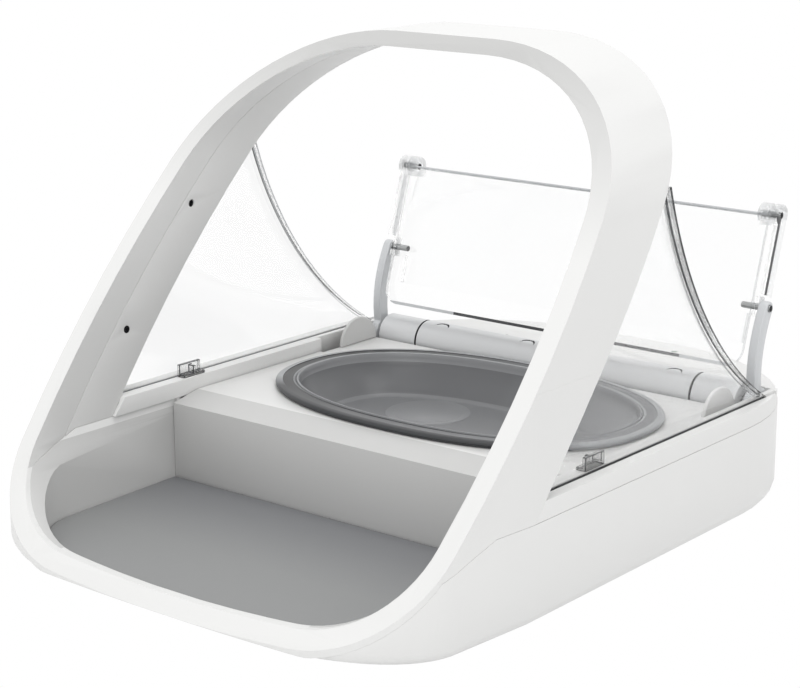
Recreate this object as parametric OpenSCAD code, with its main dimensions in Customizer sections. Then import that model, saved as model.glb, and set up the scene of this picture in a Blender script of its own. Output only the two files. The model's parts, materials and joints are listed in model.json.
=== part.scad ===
// Pet feeder with a folding lid that opens for one animal's chip.
// X runs across the feeder, Y from the front lip to the rear, Z up from the table.
// The lid stands open, as in the photograph, and every joint is at zero there.

/* [Overall] */

// Width across the base and the arch
width = 230; // [216:2:244]
// Depth from the front lip to the rear wall
depth = 320; // [310:2:332]
// Height to the top of the arch
height = 200; // [180:2:220]
// Angle between the table and the arch's front plane
lean = 49.4; // [47:0.2:52]
// Height of the rubber feet below the base
foot_height = 1.2; // [1:0.1:2]
// Thickness of the outer walls
wall = 2.4; // [2:0.1:2.8]

/* [Arch] */

// Thickness of the arch, measured in its own plane
band = 8; // [7.5:0.1:8.5]
// Depth of the arch from front to rear
band_depth = 42.4; // [38:0.2:46]
// Depth of the front half on the inner face
band_split = 16.7; // [14:0.1:19]
// Wall thickness inside the arch
band_wall = 2; // [1.8:0.1:2.2]
// Radius of the lower corners
lower_round = 55.5; // [52:0.5:58]
// Radius of the upper corners
upper_round = 86; // [82:0.5:90]

/* [Base] */

// Height of the seam between the lower and upper shells
seam_z = 40.3; // [39.5:0.1:41]
// Height of the side rails
rail_z = 47.8; // [46.5:0.1:49]
// Height of the rear housing
rear_z = 42.8; // [42.6:0.1:44]
// Plan radius of the rear corners
rear_round = 90; // [80:1:95]
// Rounding along the bottom edge
edge_round = 5; // [4:0.5:6]
// Thickness of the floor
floor_t = 2.5; // [2:0.1:3]
// Width of the side rails
rail_w = 13; // [12:0.1:14]
// Distance between the rear wall and the rear screws
screw_set = 20; // [18:0.5:22]

/* [Tray and bowl] */

// Height of the tray deck
deck_z = 42; // [41.5:0.1:42.5]
// Width of the deck in front of the bowl, down to the tray's front wall
deck_front = 19.7; // [18:0.1:22]
// Width of the deck between the bowl and the barrel
deck_back = 5.1; // [4.8:0.1:6]
// Radius of the tray's finger grips
grip_r = 13; // [12:0.5:13.5]
// Gap around the lift-out tray
tray_gap = 0.4; // [0.3:0.05:0.6]
// Length of the bowl across the feeder
bowl_length = 176; // [172:1:178]
// Width of the bowl from front to rear
bowl_width = 111; // [106:1:112]
// Depth of the bowl below its rim
bowl_depth = 18.4; // [15:0.2:24]
// Distance from the bowl's edge in to its mouth
rim_in = 6.6; // [5:0.1:8]
// Distance from the bowl's edge in to its floor
floor_in = 21; // [18:0.5:24]
// Thickness of the bowl's wall
bowl_wall = 1.8; // [1.5:0.1:2.4]
// Gap between the bowl and the tray's hole
bowl_gap = 0.5; // [0.3:0.1:0.8]
// Thickness of the mat
mat_t = 2.2; // [1.8:0.1:3]

/* [Lid] */

// Height of the drive shaft
shaft_z = 42.4; // [42:0.1:43]
// Distance from the shaft to the rear wall
shaft_set = 64.5; // [64:0.1:65.5]
// Radius of the drive shaft
shaft_r = 3; // [2.5:0.1:3.2]
// Running clearance around shafts and pins
run_gap = 0.05; // [0.02:0.01:0.09]
// Radius of the barrel that covers the shaft
barrel_r = 9.3; // [9.1:0.1:9.5]
// Distance from the shaft to the fold hinge
fold_reach = 81.1; // [79:0.1:84]
// Length of the front panel below the fold hinge
panel_length = 67; // [64:0.5:68]
// Distance from the outer wall to the front panel's side edge
panel_set = 17.5; // [17:0.1:18.5]
// Distance from the fold hinge down to the arm pins
pin_drop = 39.7; // [38:0.1:41]
// Radius of the arm pins
pin_r = 1.4; // [1.2:0.05:1.5]
// Radius of the fold pins
fold_pin_r = 1.5; // [1.3:0.05:1.7]
// Thickness of the arms
arm_t = 4.2; // [3.8:0.1:4.6]
// Half width of the arms
arm_half = 3; // [2.6:0.1:3.4]
// Thickness of the clear panels
panel_t = 2.2; // [2:0.1:2.4]
// Lean of the open panels from upright
panel_lean = 17.7; // [16.5:0.1:19]
// Radius of the fold hinge knuckles
knuckle_r = 4.8; // [4.4:0.1:5.2]

/* [Drive and power] */

// Tooth module of the gear train
module_mm = 0.8; // [0.78:0.01:0.82]
// Diameter of a battery cell
cell_d = 26; // [25.5:0.1:26.2]
// Length of a battery cell
cell_l = 50; // [49:0.1:50.4]
// Radius of the push buttons
button_r = 3.6; // [3.2:0.1:3.8]
// Gap around the push buttons
button_gap = 0.3; // [0.25:0.05:0.4]

/* [Hidden] */

low = foot_height;
front = -depth / 2;
rear = depth / 2;
half_w = width / 2;
a1 = 4.7;
a2 = 83.77;
a3 = 96.97;
side_round = 605;
x1 = half_w - lower_round * (sin(a2) - sin(a1)) - side_round * (1 - sin(a2));
low_round = x1 / sin(a1);
v1 = low_round * (1 - cos(a1));
x2 = x1 + lower_round * (sin(a2) - sin(a1));
v2 = v1 + lower_round * (cos(a1) - cos(a2));
x3 = x2 + side_round * (sin(a3) - sin(a2));
v3 = v2 + side_round * (cos(a2) - cos(a3));
v4 = v3 + upper_round * (cos(a3) + 1);
rise = (height - low) / v4;
run = rise / tan(lean);
floor_z = low + floor_t;
well = width - 2 * rail_w;
tray_half = well / 2 - tray_gap;
shaft_y = rear - shaft_set;
bowl_y = shaft_y - barrel_r - deck_back - bowl_width / 2;
tray_y = bowl_y - bowl_width / 2 - deck_front;
wall_set = tray_y - front;
panel_half = half_w - panel_set;
arm_in = panel_half + 3;
arm_out = arm_in + arm_t;
fold_y = shaft_y + fold_reach * sin(12.1);
fold_z = shaft_z + fold_reach * cos(12.1);
slot_in = arm_in - 0.3;
slot_out = arm_out + 0.4;
slot_front = shaft_y - 46.5;
slot_rear = shaft_y + 8.8;
block_y = shaft_y + 9.6;
barrel_joint = panel_half - 22.5;
barrel_end_x = panel_half + 0.1;
cell_x = half_w - wall - 1.5 - cell_d / 2;
cell_y = shaft_y - 60.5;
cell_z = floor_z + 0.5 + cell_d / 2;
bay_front = cell_y - cell_l - 2.2;
bay_rear = cell_y + cell_l + 2.2;
block_in = panel_half - 9.5;
block_out = panel_half - 3.5;
gear_x = 19.5 - barrel_joint;
idler_y = shaft_y + 14.4;
idler_z = shaft_z - 14.45;
out_teeth = 17;
idler_teeth = 34;
pinion_teeth = 10;
mesh_one = module_mm * (out_teeth + idler_teeth) / 2;
mesh_two = module_mm * (idler_teeth + pinion_teeth) / 2;
pinion_y = idler_y + 15.9;
pinion_z = idler_z - sqrt(mesh_two * mesh_two - 15.9 * 15.9);
board_y = rear - 9;
button_z = seam_z - 7.8;

// Outline of the arch in its own plane, moved inwards by d.
function turn(s, e, r, x0, v0, n, d) = [
    for (i = [0 : n])
        let (a = s + (e - s) * i / n)
        [x0 + r * (sin(a) - sin(s)) - d * sin(a), v0 + r * (cos(s) - cos(a)) + d * cos(a)]
];
function half_loop(d) = concat(
    turn(1, a1, low_round, low_round * sin(1), low_round * (1 - cos(1)), 3, d),
    turn(a1 + 5, a2, lower_round, x1 + lower_round * (sin(a1 + 5) - sin(a1)),
         v1 + lower_round * (cos(a1) - cos(a1 + 5)), 14, d),
    turn(a2 + 2, a3, side_round, x2 + side_round * (sin(a2 + 2) - sin(a2)),
         v2 + side_round * (cos(a2) - cos(a2 + 2)), 6, d),
    turn(a3 + 5, 180, upper_round, x3 + upper_round * (sin(a3 + 5) - sin(a3)),
         v3 + upper_round * (cos(a3) - cos(a3 + 5)), 15, d)
);
function mirrored(p) = [for (i = [len(p) - 1 : -1 : 0]) [-p[i][0], p[i][1]]];
function loop(d) = let (h = half_loop(d)) concat(h, mirrored(h));
function front_view(p) = [for (q = p) [q[0], low + q[1] * rise]];

// Plan of the base: the foot of the leaning loop in front, rounded corners behind.
function foot_half(d) = [
    for (q = concat(
        turn(1, a1, low_round, low_round * sin(1), low_round * (1 - cos(1)), 2, 0),
        turn(a1 + 5, a2, lower_round, x1 + lower_round * (sin(a1 + 5) - sin(a1)),
             v1 + lower_round * (cos(a1) - cos(a1 + 5)), 12, 0)))
        [q[0] - d * q[0] / half_w, front + q[1] * run + 0.6 * d * pow(q[0] / half_w, 2)]
];
function back_half(d) = [
    for (i = [0 : 14])
        let (a = 90 * i / 14)
        [half_w - rear_round + (rear_round - d) * cos(a), rear - rear_round + (rear_round - d) * sin(a)]
];
function plan(d) = let (h = concat(foot_half(d), [[half_w - d, front + v2 * run + 42]], back_half(d)))
    concat(h, mirrored(h));
function well_half() = [
    for (q = foot_half(0)) [q[0] * (well / 2) / half_w, q[1] + 8.5]
];
function well_plan(d) = let (h = [for (q = well_half()) [q[0] * (1 - d / (well / 2)), q[1] + d]])
    concat(h, [[well / 2 - d, tray_y + 3 - d], [-well / 2 + d, tray_y + 3 - d]], mirrored(h));
function oval(a, b, n) = [
    for (i = [0 : 71])
        let (t = i * 5 + 2.5, c = cos(t), s = sin(t))
        [a * sign(c) * pow(abs(c), 2 / n), b * sign(s) * pow(abs(s), 2 / n)]
];

// A prism running from front to rear with the given front view.
module sweep(p, y0, y1) {
    translate([0, y1, 0])
        rotate([90, 0, 0])
            linear_extrude(height = y1 - y0)
                polygon(p);
}

// The space between two planes parallel to the arch's front plane.
module slab(d0, d1) {
    t = (d1 - d0) * sin(lean);
    translate([0, front + d0, low])
        rotate([lean, 0, 0])
            translate([-160, -80, -t])
                cube([320, 420, t]);
}

module ring(da, db, y0, y1) {
    intersection() {
        difference() {
            sweep(front_view(loop(da)), front - 20, rear);
            sweep(front_view(loop(db)), front - 21, rear + 1);
        }
        slab(y0, y1);
    }
}

// The arch's whole section: its legs widen to the base's plan where the loop turns in.
module arch_body() {
    widest = v2 + side_round * cos(a2);
    intersection() {
        difference() {
            union() {
                sweep(front_view(loop(0)), front - 20, rear);
                slice(0, low, widest * rise);
            }
            sweep(front_view(loop(band)), front - 21, rear + 1);
        }
        slab(0, band_depth);
    }
}

module slice(d, z, h) {
    translate([0, 0, z])
        linear_extrude(height = h)
            polygon(plan(d));
}

// Everything below the seam, which dips at the front along the arch's side.
module below_seam(gap) {
    translate([-160, front - 30, -10])
        cube([320, depth + 60, seam_z + 10 - gap - 12.8]);
    translate([-160, 0, 0])
        rotate([90, 0, 90])
            linear_extrude(height = 320)
                polygon([
                    [front - 30, seam_z - 12.9 - gap], [front + 20.3, seam_z - 12.8 - gap],
                    [front + 31.5, seam_z - 7.9 - gap], [front + 43.5, seam_z - 3.7 - gap],
                    [front + 55, seam_z - gap], [rear + 30, seam_z - gap], [rear + 30, 0], [front - 30, 0]
                ]);
}

module box_at(c, s) {
    translate([c[0] - s[0] / 2, c[1] - s[1] / 2, c[2]])
        cube(s);
}

module bar_x(x0, x1, y, z, r) {
    translate([x0, y, z])
        rotate([0, 90, 0])
            cylinder(r = r, h = x1 - x0);
}

module both_sides() {
    children();
    mirror([1, 0, 0])
        children();
}

// Removes the front opening: the leaning loop's inside and the upright mat well.
module front_room() {
    sweep(front_view(loop(band)), front - 20, tray_y + 2.5);
    translate([0, 0, floor_z])
        linear_extrude(height = 60)
            polygon(well_plan(0));
}

$fn = 48;

boss_spots = [
    for (s = [-1, 1], p = [[74, shaft_y + 16.5], [40, rear - screw_set], [half_w - 9, tray_y + 15.6]])
        [s * p[0], p[1]]
];
foot_spots = [for (s = [-1, 1], p = [[78, front + 62], [66, rear - 36]]) [s * p[0], p[1]]];

module lower_shell() {
    color("white")
        difference() {
            union() {
                difference() {
                    intersection() {
                        hull() {
                            slice(edge_round, low, 0.02);
                            slice(edge_round * 0.5, low + edge_round * 0.14, 0.02);
                            slice(edge_round * 0.15, low + edge_round * 0.55, 0.02);
                            slice(0, low + edge_round, seam_z - low - edge_round);
                        }
                        slab(wall + 0.1, 500);
                        below_seam(0);
                    }
                    intersection() {
                        hull() {
                            slice(edge_round + wall * 0.6, floor_z, 0.02);
                            slice(wall + edge_round * 0.15, floor_z + edge_round * 0.5, 0.02);
                            slice(wall, floor_z + edge_round, seam_z);
                        }
                        translate([-160, tray_y + 5, 0])
                            cube([320, depth, 100]);
                    }
                    both_sides()
                        translate([well / 2 + 4, front + 65, floor_z + edge_round])
                            cube([half_w - wall - well / 2 - 4, tray_y - front - 58, 60]);
                    front_room();
                }
                both_sides() {
                    translate([cell_x - cell_d / 2 - 1.8, bay_front - 1.6, floor_z - 0.1])
                        cube([1.6, bay_rear - bay_front + 3.2, cell_d * 0.8]);
                    translate([cell_x - cell_d / 2 - 1.8, bay_front - 1.6, floor_z - 0.1])
                        cube([cell_d + 3.4, 1.6, cell_d * 0.8]);
                    translate([cell_x - cell_d / 2 - 1.8, bay_rear, floor_z - 0.1])
                        cube([cell_d * 0.6, 1.6, cell_d * 0.8]);
                }
                for (p = boss_spots)
                    translate([p[0], p[1], floor_z - 0.1])
                        cylinder(r = 3.4, h = seam_z - floor_z - 3.9);
                for (x = [-34, 34])
                    box_at([x, board_y, floor_z - 0.1], [8, 6, 8]);
            }
            both_sides()
                translate([cell_x - 12.4, bay_front + 1, -1])
                    cube([20.8, bay_rear - bay_front - 2, 10]);
            ring(band_wall - 0.1, band_wall + 2.6, wall - 0.1, wall + 2.6);
            translate([-well / 2, tray_y, seam_z - 6.3])
                cube([well, 6, 20]);
            for (p = boss_spots)
                translate([p[0], p[1], -1]) {
                    cylinder(r = 1.6, h = 60);
                    cylinder(r = 3.1, h = low + 2.6);
                }
            for (x = [-34, 34])
                box_at([x, board_y, floor_z + 2], [10, 1.7, 20]);
            for (x = [-16, 0, 16])
                translate([x, rear - 8, button_z])
                    rotate([-90, 0, 0])
                        cylinder(r = button_r + button_gap, h = 20);
            for (p = foot_spots)
                translate([p[0], p[1], -1])
                    cylinder(r = 7.1, h = low + 1.6);
        }
}

module upper_shell() {
    color("white")
        difference() {
            union() {
                intersection() {
                    difference() {
                        slice(0, seam_z + 0.2, rail_z - seam_z - 0.2);
                        difference() {
                            slice(wall, seam_z, rail_z - seam_z - 2.2);
                            both_sides()
                                translate([well / 2, front, seam_z - 1])
                                    cube([2, slot_front - front, 20]);
                            translate([-160, block_y - 1, seam_z - 1])
                                cube([320, 200, 20]);
                        }
                        translate([-well / 2, front - 1, seam_z - 1])
                            cube([well, block_y - front + 1, 20]);
                    }
                    slab(band_depth + 0.1, 600);
                    translate([-160, front, 0])
                        cube([320, block_y - front + 1, 100]);
                }
                intersection() {
                    slice(0.3, seam_z + 0.2, rear_z - seam_z - 0.2);
                    difference() {
                        translate([-160, block_y, seam_z])
                            cube([320, 200, rear_z - seam_z]);
                        difference() {
                            slice(wall + 0.3, seam_z - 1, rear_z - seam_z - 1.2);
                            translate([-slot_out - 2, block_y - 1, seam_z - 2])
                                cube([2 * slot_out + 4, 3.2, 40]);
                        }
                    }
                }
                both_sides() {
                    translate([slot_out, slot_front - 2, seam_z - 6])
                        cube([1.6, slot_rear - slot_front - 4.3, rail_z - seam_z + 5]);
                    translate([slot_out, slot_front - 2, seam_z + 0.3])
                        cube([1.6, slot_rear - slot_front + 3.6, rail_z - seam_z - 1.3]);
                }
                translate([gear_x - 9.6, block_y, seam_z + 0.3])
                    cube([19.2, 15.2, 4.3]);
                translate([-slot_in + 0.4, shaft_y - 10.2, seam_z - 4])
                    cube([2 * slot_in - 0.8, 22, 1.8]);
                translate([-slot_in + 0.4, block_y, seam_z - 4])
                    cube([2 * slot_in - 0.8, 2.2, rear_z - seam_z + 3.9]);
                for (p = boss_spots)
                    if (p[1] > shaft_y)
                        translate([p[0], p[1], seam_z - 3.9])
                            cylinder(r = 3.4, h = rear_z - seam_z + 2.5);
                for (p = boss_spots)
                    if (p[1] < shaft_y)
                        translate([p[0], p[1], seam_z - 3.9])
                            cylinder(r = 3.4, h = rail_z - seam_z + 2.5);
            }
            both_sides() {
                translate([slot_in, slot_front, 20])
                    cube([slot_out - slot_in, slot_rear - slot_front, 60]);
                translate([half_w - 7.4, front + 60, rail_z - 1.5])
                    cube([2.4, block_y - front - 62.8, 10]);
                translate([block_in - 0.6, shaft_y - 8, 20])
                    cube([7.2, 16, 60]);
            }
            translate([gear_x - 8, shaft_y - 9, 20])
                cube([16, 32, seam_z - 17.2]);
            translate([30, board_y - 3, rear_z - 5])
                cylinder(r = 1.6, h = 10);
            for (p = boss_spots)
                translate([p[0], p[1], seam_z - 8])
                    cylinder(r = 1.3, h = 9.1);
        }
}

// The front half keeps one face all round: it runs down past the seam as a thin lip.
module arch_front() {
    color("white")
        difference() {
            arch_body();
            ring(band_wall, band - band_wall, wall, band_depth + 5);
            ring(band - band_wall - 0.1, band + 1, band_split, band_depth + 5);
            difference() {
                below_seam(-0.15);
                slab(-1, wall);
            }
        }
}

module arch_rear() {
    color("white")
        difference() {
            union() {
                ring(band - band_wall, band, band_split + 0.25, band_depth);
                ring(band_wall + 0.1, band, band_depth - 2, band_depth);
            }
            below_seam(-0.15);
            both_sides()
                for (p = arch_screw_spots)
                    translate([p[0] - 2, p[1], p[2]])
                        rotate([0, 90, 0])
                            cylinder(r = 1.7, h = 12, center = true);
        }
}

arch_screw_spots = [
    [half_w - 9.2, front + 164.6 * run + 23, low + 164.6 * rise],
    [half_w - 8.2, front + 99.3 * run + 25.5, low + 99.3 * rise]
];

module arch_screws() {
    color("silver")
        both_sides()
            for (p = arch_screw_spots)
                translate([p[0] - 0.2, p[1], p[2]])
                    rotate([0, 90, 0]) {
                        cylinder(r = 1.6, h = 1.4);
                        cylinder(r = 0.9, h = 5.2);
                    }
}

module antenna_coil() {
    color("peru")
        ring(band_wall, band_wall + 2.4, wall + 0.05, wall + 2.4);
}

function window_side() = [
    [front + (rail_z - 1.4 - low) / tan(lean) + band_depth + 0.3, rail_z - 1.4],
    [front + (150 - low) / tan(lean) + band_depth + 0.3, 150],
    [front + (150 - low) / tan(lean) + band_depth + 1.3, 150],
    [block_y - 3, rail_z + 1],
    [block_y - 3, rail_z - 1.4]
];

// A slice of the window between two distances from its inner face, standing above z.
module window_slice(x, t, z) {
    translate([half_w - 7.3 + x, 0, 0])
        rotate([90, 0, 90])
            linear_extrude(height = t)
                intersection() {
                    polygon(window_side());
                    translate([front, z])
                        square([depth, height]);
                }
}

// The curved rear edge carries a rim, a little thicker than the window.
module window_plate() {
    difference() {
        union() {
            window_slice(0, 2.2, 0);
            difference() {
                window_slice(-1.6, 4.2, rail_z + 0.2);
                translate([half_w - 12, block_y + 72.3, height + 0.4])
                    rotate([0, 90, 0])
                        difference() {
                            cylinder(r = 2 * height, h = 20);
                            translate([0, 0, -1])
                                cylinder(r = height - 23, h = 30, $fn = 180);
                        }
            }
        }
        translate([half_w - 12, block_y + 72.3, height + 0.4])
            rotate([0, 90, 0])
                cylinder(r = height - 25.1, h = 20, $fn = 180);
    }
}

module window_right() {
    color([0.85, 0.9, 0.95, 0.35])
        window_plate();
}

module window_left() {
    color([0.85, 0.9, 0.95, 0.35])
        mirror([1, 0, 0])
            window_plate();
}

// Each catch stands on its rail against the window, stiffened by a rib.
module window_clips() {
    color([0.85, 0.9, 0.95, 0.5])
        both_sides()
            translate([well / 2 + 1, tray_y + 8.6, rail_z]) {
                deep = half_w - 7.5 - well / 2 - 1;
                cube([deep, 13, 1.3]);
                translate([deep - 1.6, 0, 0])
                    cube([1.6, 13, 5.6]);
                translate([0, 5.7, 0])
                    cube([deep, 1.6, 4.6]);
            }
}

module barrel_skin(x0, x1) {
    difference() {
        bar_x(x0, x1, shaft_y, shaft_z, barrel_r);
        bar_x(x0 - 1, x1 + 1, shaft_y, shaft_z, barrel_r - 1.3);
        translate([x0 - 2, shaft_y - 20, seam_z - 22.2])
            cube([x1 - x0 + 4, 40, 20]);
    }
}

module barrel_middle() {
    color("gainsboro")
        difference() {
            barrel_skin(-barrel_joint, barrel_joint);
            translate([gear_x - 4.5, shaft_y + 1, shaft_z - 12])
                cube([9, 12, 12.6]);
            for (x = [-barrel_joint + 11, -14.6, 14.6, barrel_joint - 11])
                translate([x, shaft_y - 4.5, shaft_z + barrel_r + 0.9])
                    rotate([20, 0, 0])
                        difference() {
                            cylinder(r = 4, h = 6, center = true);
                            translate([0, -1.5, 0])
                                cylinder(r = 4.2, h = 8, center = true);
                        }
        }
}

module barrel_end() {
    difference() {
        union() {
            barrel_skin(barrel_joint + 1, barrel_end_x);
            difference() {
                bar_x(barrel_end_x - 1.4, barrel_end_x, shaft_y, shaft_z, barrel_r - 1.2);
                translate([barrel_end_x - 7.6, shaft_y - 20, seam_z - 22.2])
                    cube([12, 40, 20]);
            }
        }
        bar_x(barrel_end_x - 7.6, barrel_end_x + 2, shaft_y, shaft_z, shaft_r + 0.5);
    }
}

module barrel_right() {
    color("gainsboro")
        barrel_end();
}

module barrel_left() {
    color("gainsboro")
        mirror([1, 0, 0])
            barrel_end();
}

module bowl_tray() {
    edge = slot_front - 1.5;
    back = shaft_y - barrel_r - 1.6;
    color("white")
        difference() {
            union() {
                translate([-tray_half, 0, 0])
                    rotate([90, 0, 90])
                        linear_extrude(height = 2 * tray_half)
                            polygon([
                                [tray_y, floor_z + 0.1], [tray_y + 2, floor_z + 0.1], [tray_y + 2, deck_z - 4.8],
                                [tray_y + 15.1, deck_z - 2], [edge, deck_z - 2], [edge, deck_z],
                                [tray_y + 15.1, deck_z], [tray_y, deck_z - 3]
                            ]);
                translate([-slot_in + 0.8, edge - 0.1, deck_z - 2])
                    cube([2 * slot_in - 1.6, back - edge + 0.1, 2]);
                for (x = [-79, 79])
                    translate([x, back - 6, floor_z + 0.1])
                        cylinder(r = 3.5, h = deck_z - floor_z - 1);
            }
            translate([0, bowl_y, deck_z - 5])
                linear_extrude(height = 10)
                    polygon(oval(bowl_length / 2 + bowl_gap, bowl_width / 2 + bowl_gap, 2.28));
        }
}

// Half discs at the tray's rear corners, to lift it by.
module tray_grips() {
    color("white")
        both_sides()
            translate([slot_in - 2.6, shaft_y - barrel_r - 1.6 - grip_r, deck_z - 0.5])
                rotate([0, 90, 0])
                    difference() {
                        cylinder(r = grip_r, h = 1.8);
                        translate([-0.5, -20, -1])
                            cube([20, 40, 4]);
                    }
}

module bowl_slice(a, b, z, h) {
    translate([0, bowl_y, z])
        linear_extrude(height = h)
            polygon(oval(a, b, 2.28));
}

module bowl() {
    la = bowl_length / 2;
    lb = bowl_width / 2;
    w = bowl_wall;
    base = deck_z - bowl_depth;
    color("gray")
        difference() {
            union() {
                bowl_slice(la + 2.8, lb + 2.8, deck_z + 0.1, 1.2);
                hull() {
                    bowl_slice(la - rim_in + w, lb - rim_in + w, deck_z - 2, 2.2);
                    bowl_slice(la - floor_in + 4.4, lb - floor_in + 4.4, base + 2.6, 0.02);
                    bowl_slice(la - floor_in, lb - floor_in, base, 0.02);
                }
            }
            hull() {
                bowl_slice(la - rim_in, lb - rim_in, deck_z - 2, 4);
                bowl_slice(la - floor_in + 2.7, lb - floor_in + 2.7, base + 2.6 + w, 0.02);
                bowl_slice(la - floor_in - 0.7, lb - floor_in - 0.7, base + w, 0.02);
            }
        }
}

module bowl_seal() {
    la = bowl_length / 2;
    lb = bowl_width / 2;
    color("dimgray")
        difference() {
            bowl_slice(la + 3.6, lb + 3.6, deck_z + 1.3, 1.3);
            bowl_slice(la - rim_in, lb - rim_in, deck_z, 5);
        }
}

module mat() {
    color("gray")
        translate([0, 0, floor_z])
            linear_extrude(height = mat_t)
                difference() {
                    polygon(well_plan(0.5));
                    translate([-200, tray_y - 0.4])
                        square([400, 200]);
                }
}

// Draws children in the lid's own frame: x across, y forwards, z up the panel from the fold hinge.
module lid_frame() {
    translate([0, fold_y, fold_z])
        rotate([-panel_lean, 0, 0])
            children();
}

module lid_knuckle(x0, x1) {
    bar_x(x0, x1, 0, 0, knuckle_r);
}

module lid_rear() {
    t = panel_t;
    color([0.8, 0.85, 0.9, 0.4])
        lid_frame()
            difference() {
                union() {
                    translate([4 - panel_half, 2.4, -56])
                        cube([2 * panel_half - 8, t, 56]);
                    both_sides() {
                        translate([panel_half - 4.1, 2.4, -pin_drop - 3.3])
                            cube([5.8, t, pin_drop - 0.7]);
                        lid_knuckle(panel_half + 0.7, panel_half + 5);
                        translate([panel_half - 1.1, 2.4, -35])
                            cube([6.1, t, 35]);
                        translate([panel_half + 2.8, -2.4, -34.5])
                            cube([2.2, 5, 34.5]);
                        translate([panel_half + 0.7, 2.4, -6])
                            cube([4.3, t, 6]);
                        translate([panel_half + 0.3, -1.5, -pin_drop - 4.3])
                            cube([2.4, 4.5, 8.6]);
                    }
                }
                bar_x(-half_w, half_w, 0, 0, fold_pin_r);
                bar_x(-half_w, half_w, 0.75, -pin_drop, pin_r);
                both_sides()
                    bar_x(panel_half - 4.9, panel_half + 0.5, 0, 0, knuckle_r + 0.4);
            }
}

module lid_front() {
    t = panel_t;
    color([0.8, 0.85, 0.9, 0.4])
        lid_frame()
            difference() {
                union() {
                    difference() {
                        translate([-panel_half, -0.9 - t, -panel_length])
                            cube([2 * panel_half, t, panel_length]);
                        both_sides()
                            difference() {
                                translate([panel_half - 8, -5, -panel_length - 1])
                                    cube([9, 10, 9]);
                                translate([panel_half - 8, 5, -panel_length + 8])
                                    rotate([90, 0, 0])
                                        cylinder(r = 8, h = 12);
                            }
                    }
                    both_sides()
                        lid_knuckle(panel_half - 4.3, panel_half);
                }
                bar_x(-half_w, half_w, 0, 0, fold_pin_r + run_gap);
            }
}

module fold_pins() {
    color("silver")
        lid_frame()
            both_sides()
                bar_x(panel_half - 4.1, panel_half + 4.8, 0, 0, fold_pin_r);
}

// The arm bows forwards between the shaft and its pin.
arm_bow = [-6, 20];
function arm_at(t) = 2 * t * (1 - t) * arm_bow + t * t * [pin_y - shaft_y, pin_z - shaft_z];
function arm_way(t) = unit((1 - 2 * t) * arm_bow + t * [pin_y - shaft_y, pin_z - shaft_z]);
function arm_edge(s) = [
    for (i = [0 : 10])
        let (w = arm_way(i / 10))
        arm_at(i / 10) + s * [-w[1], w[0]]
];
function arm_end(r) = [
    for (i = [1 : 7])
        let (w = arm_way(1), a = atan2(w[1], w[0]) + 90 - i * 22.5)
        arm_at(1) + r * [cos(a), sin(a)]
];

module arm_shape() {
    back_edge = arm_edge(-arm_half);
    difference() {
        union() {
            bar_x(arm_in, arm_out, shaft_y, shaft_z, 7.5);
            translate([arm_in, shaft_y, shaft_z])
                rotate([90, 0, 90])
                    linear_extrude(height = arm_t)
                        polygon(concat(
                            arm_edge(arm_half), arm_end(arm_half), [for (i = [10 : -1 : 0]) back_edge[i]]
                        ));
        }
        bar_x(arm_in - 5, arm_out + 5, shaft_y, shaft_z, shaft_r);
        bar_x(arm_in - 5, arm_out + 5, pin_y, pin_z, pin_r);
    }
}

pin_y = fold_y - pin_drop * sin(panel_lean) + 0.75 * cos(panel_lean);
pin_z = fold_z - pin_drop * cos(panel_lean) - 0.75 * sin(panel_lean);

module arm_right() {
    color("lightgray")
        arm_shape();
}

module arm_left() {
    color("lightgray")
        mirror([1, 0, 0])
            arm_shape();
}

module arm_pins() {
    color("darkgray")
        both_sides() {
            bar_x(panel_half - 6.1, arm_out + 0.6, pin_y, pin_z, pin_r);
        }
}

module drive_shaft() {
    color("silver")
        bar_x(-arm_out, arm_out, shaft_y, shaft_z, shaft_r);
}

module shaft_blocks() {
    color("ivory")
        both_sides()
            difference() {
                union() {
                    translate([block_in, shaft_y - 6, floor_z])
                        cube([6, 12, shaft_z - floor_z]);
                    bar_x(block_in, block_out, shaft_y, shaft_z, 6);
                }
                bar_x(block_in - 5, block_out + 5, shaft_y, shaft_z, shaft_r + run_gap);
            }
}

// One gear outline, with a tooth centred on the start angle.
function tooth(r, w, a) = [r * cos(a) - w * sin(a), r * sin(a) + w * cos(a)];
module gear(teeth, start, bore) {
    pr = module_mm * teeth / 2;
    m = module_mm;
    difference() {
        linear_extrude(height = 5)
            polygon([
                for (i = [0 : teeth - 1])
                    let (a = start + i * 360 / teeth)
                    for (p = [
                        [pr - 1.2 * m, -0.95 * m], [pr, -0.68 * m], [pr + 0.85 * m, -0.3 * m],
                        [pr + 0.85 * m, 0.3 * m], [pr, 0.68 * m], [pr - 1.2 * m, 0.95 * m]
                    ])
                        tooth(p[0], p[1], a)
            ]);
        translate([0, 0, -1])
            cylinder(r = bore, h = 7);
    }
}

// Turns a gear's plane so that its angle zero points at the rear and ninety up.
module gear_at(y, z) {
    translate([gear_x - 2.5, y, z])
        rotate([90, 0, 90])
            children();
}

line_one = atan2(idler_z - shaft_z, idler_y - shaft_y);
line_two = atan2(pinion_z - idler_z, pinion_y - idler_y);

module output_gear() {
    color("beige")
        gear_at(shaft_y, shaft_z)
            gear(out_teeth, line_one, shaft_r);
}

module idler_gear() {
    color("beige")
        gear_at(idler_y, idler_z)
            gear(idler_teeth, line_one + 180 + 180 / idler_teeth, 1.5 + run_gap);
}

module motor_pinion() {
    half_tooth = 180 / pinion_teeth;
    first = line_one + 180 + 180 / idler_teeth;
    off = (line_two - first) / (360 / idler_teeth);
    part = off - floor(off);
    color("silver")
        gear_at(pinion_y, pinion_z)
            gear(pinion_teeth, line_two + 180 + (part + 0.5) * 360 / pinion_teeth, 1);
    color("silver")
        bar_x(gear_x - 2.5, gear_x + 14, pinion_y, pinion_z, 1);
}

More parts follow.
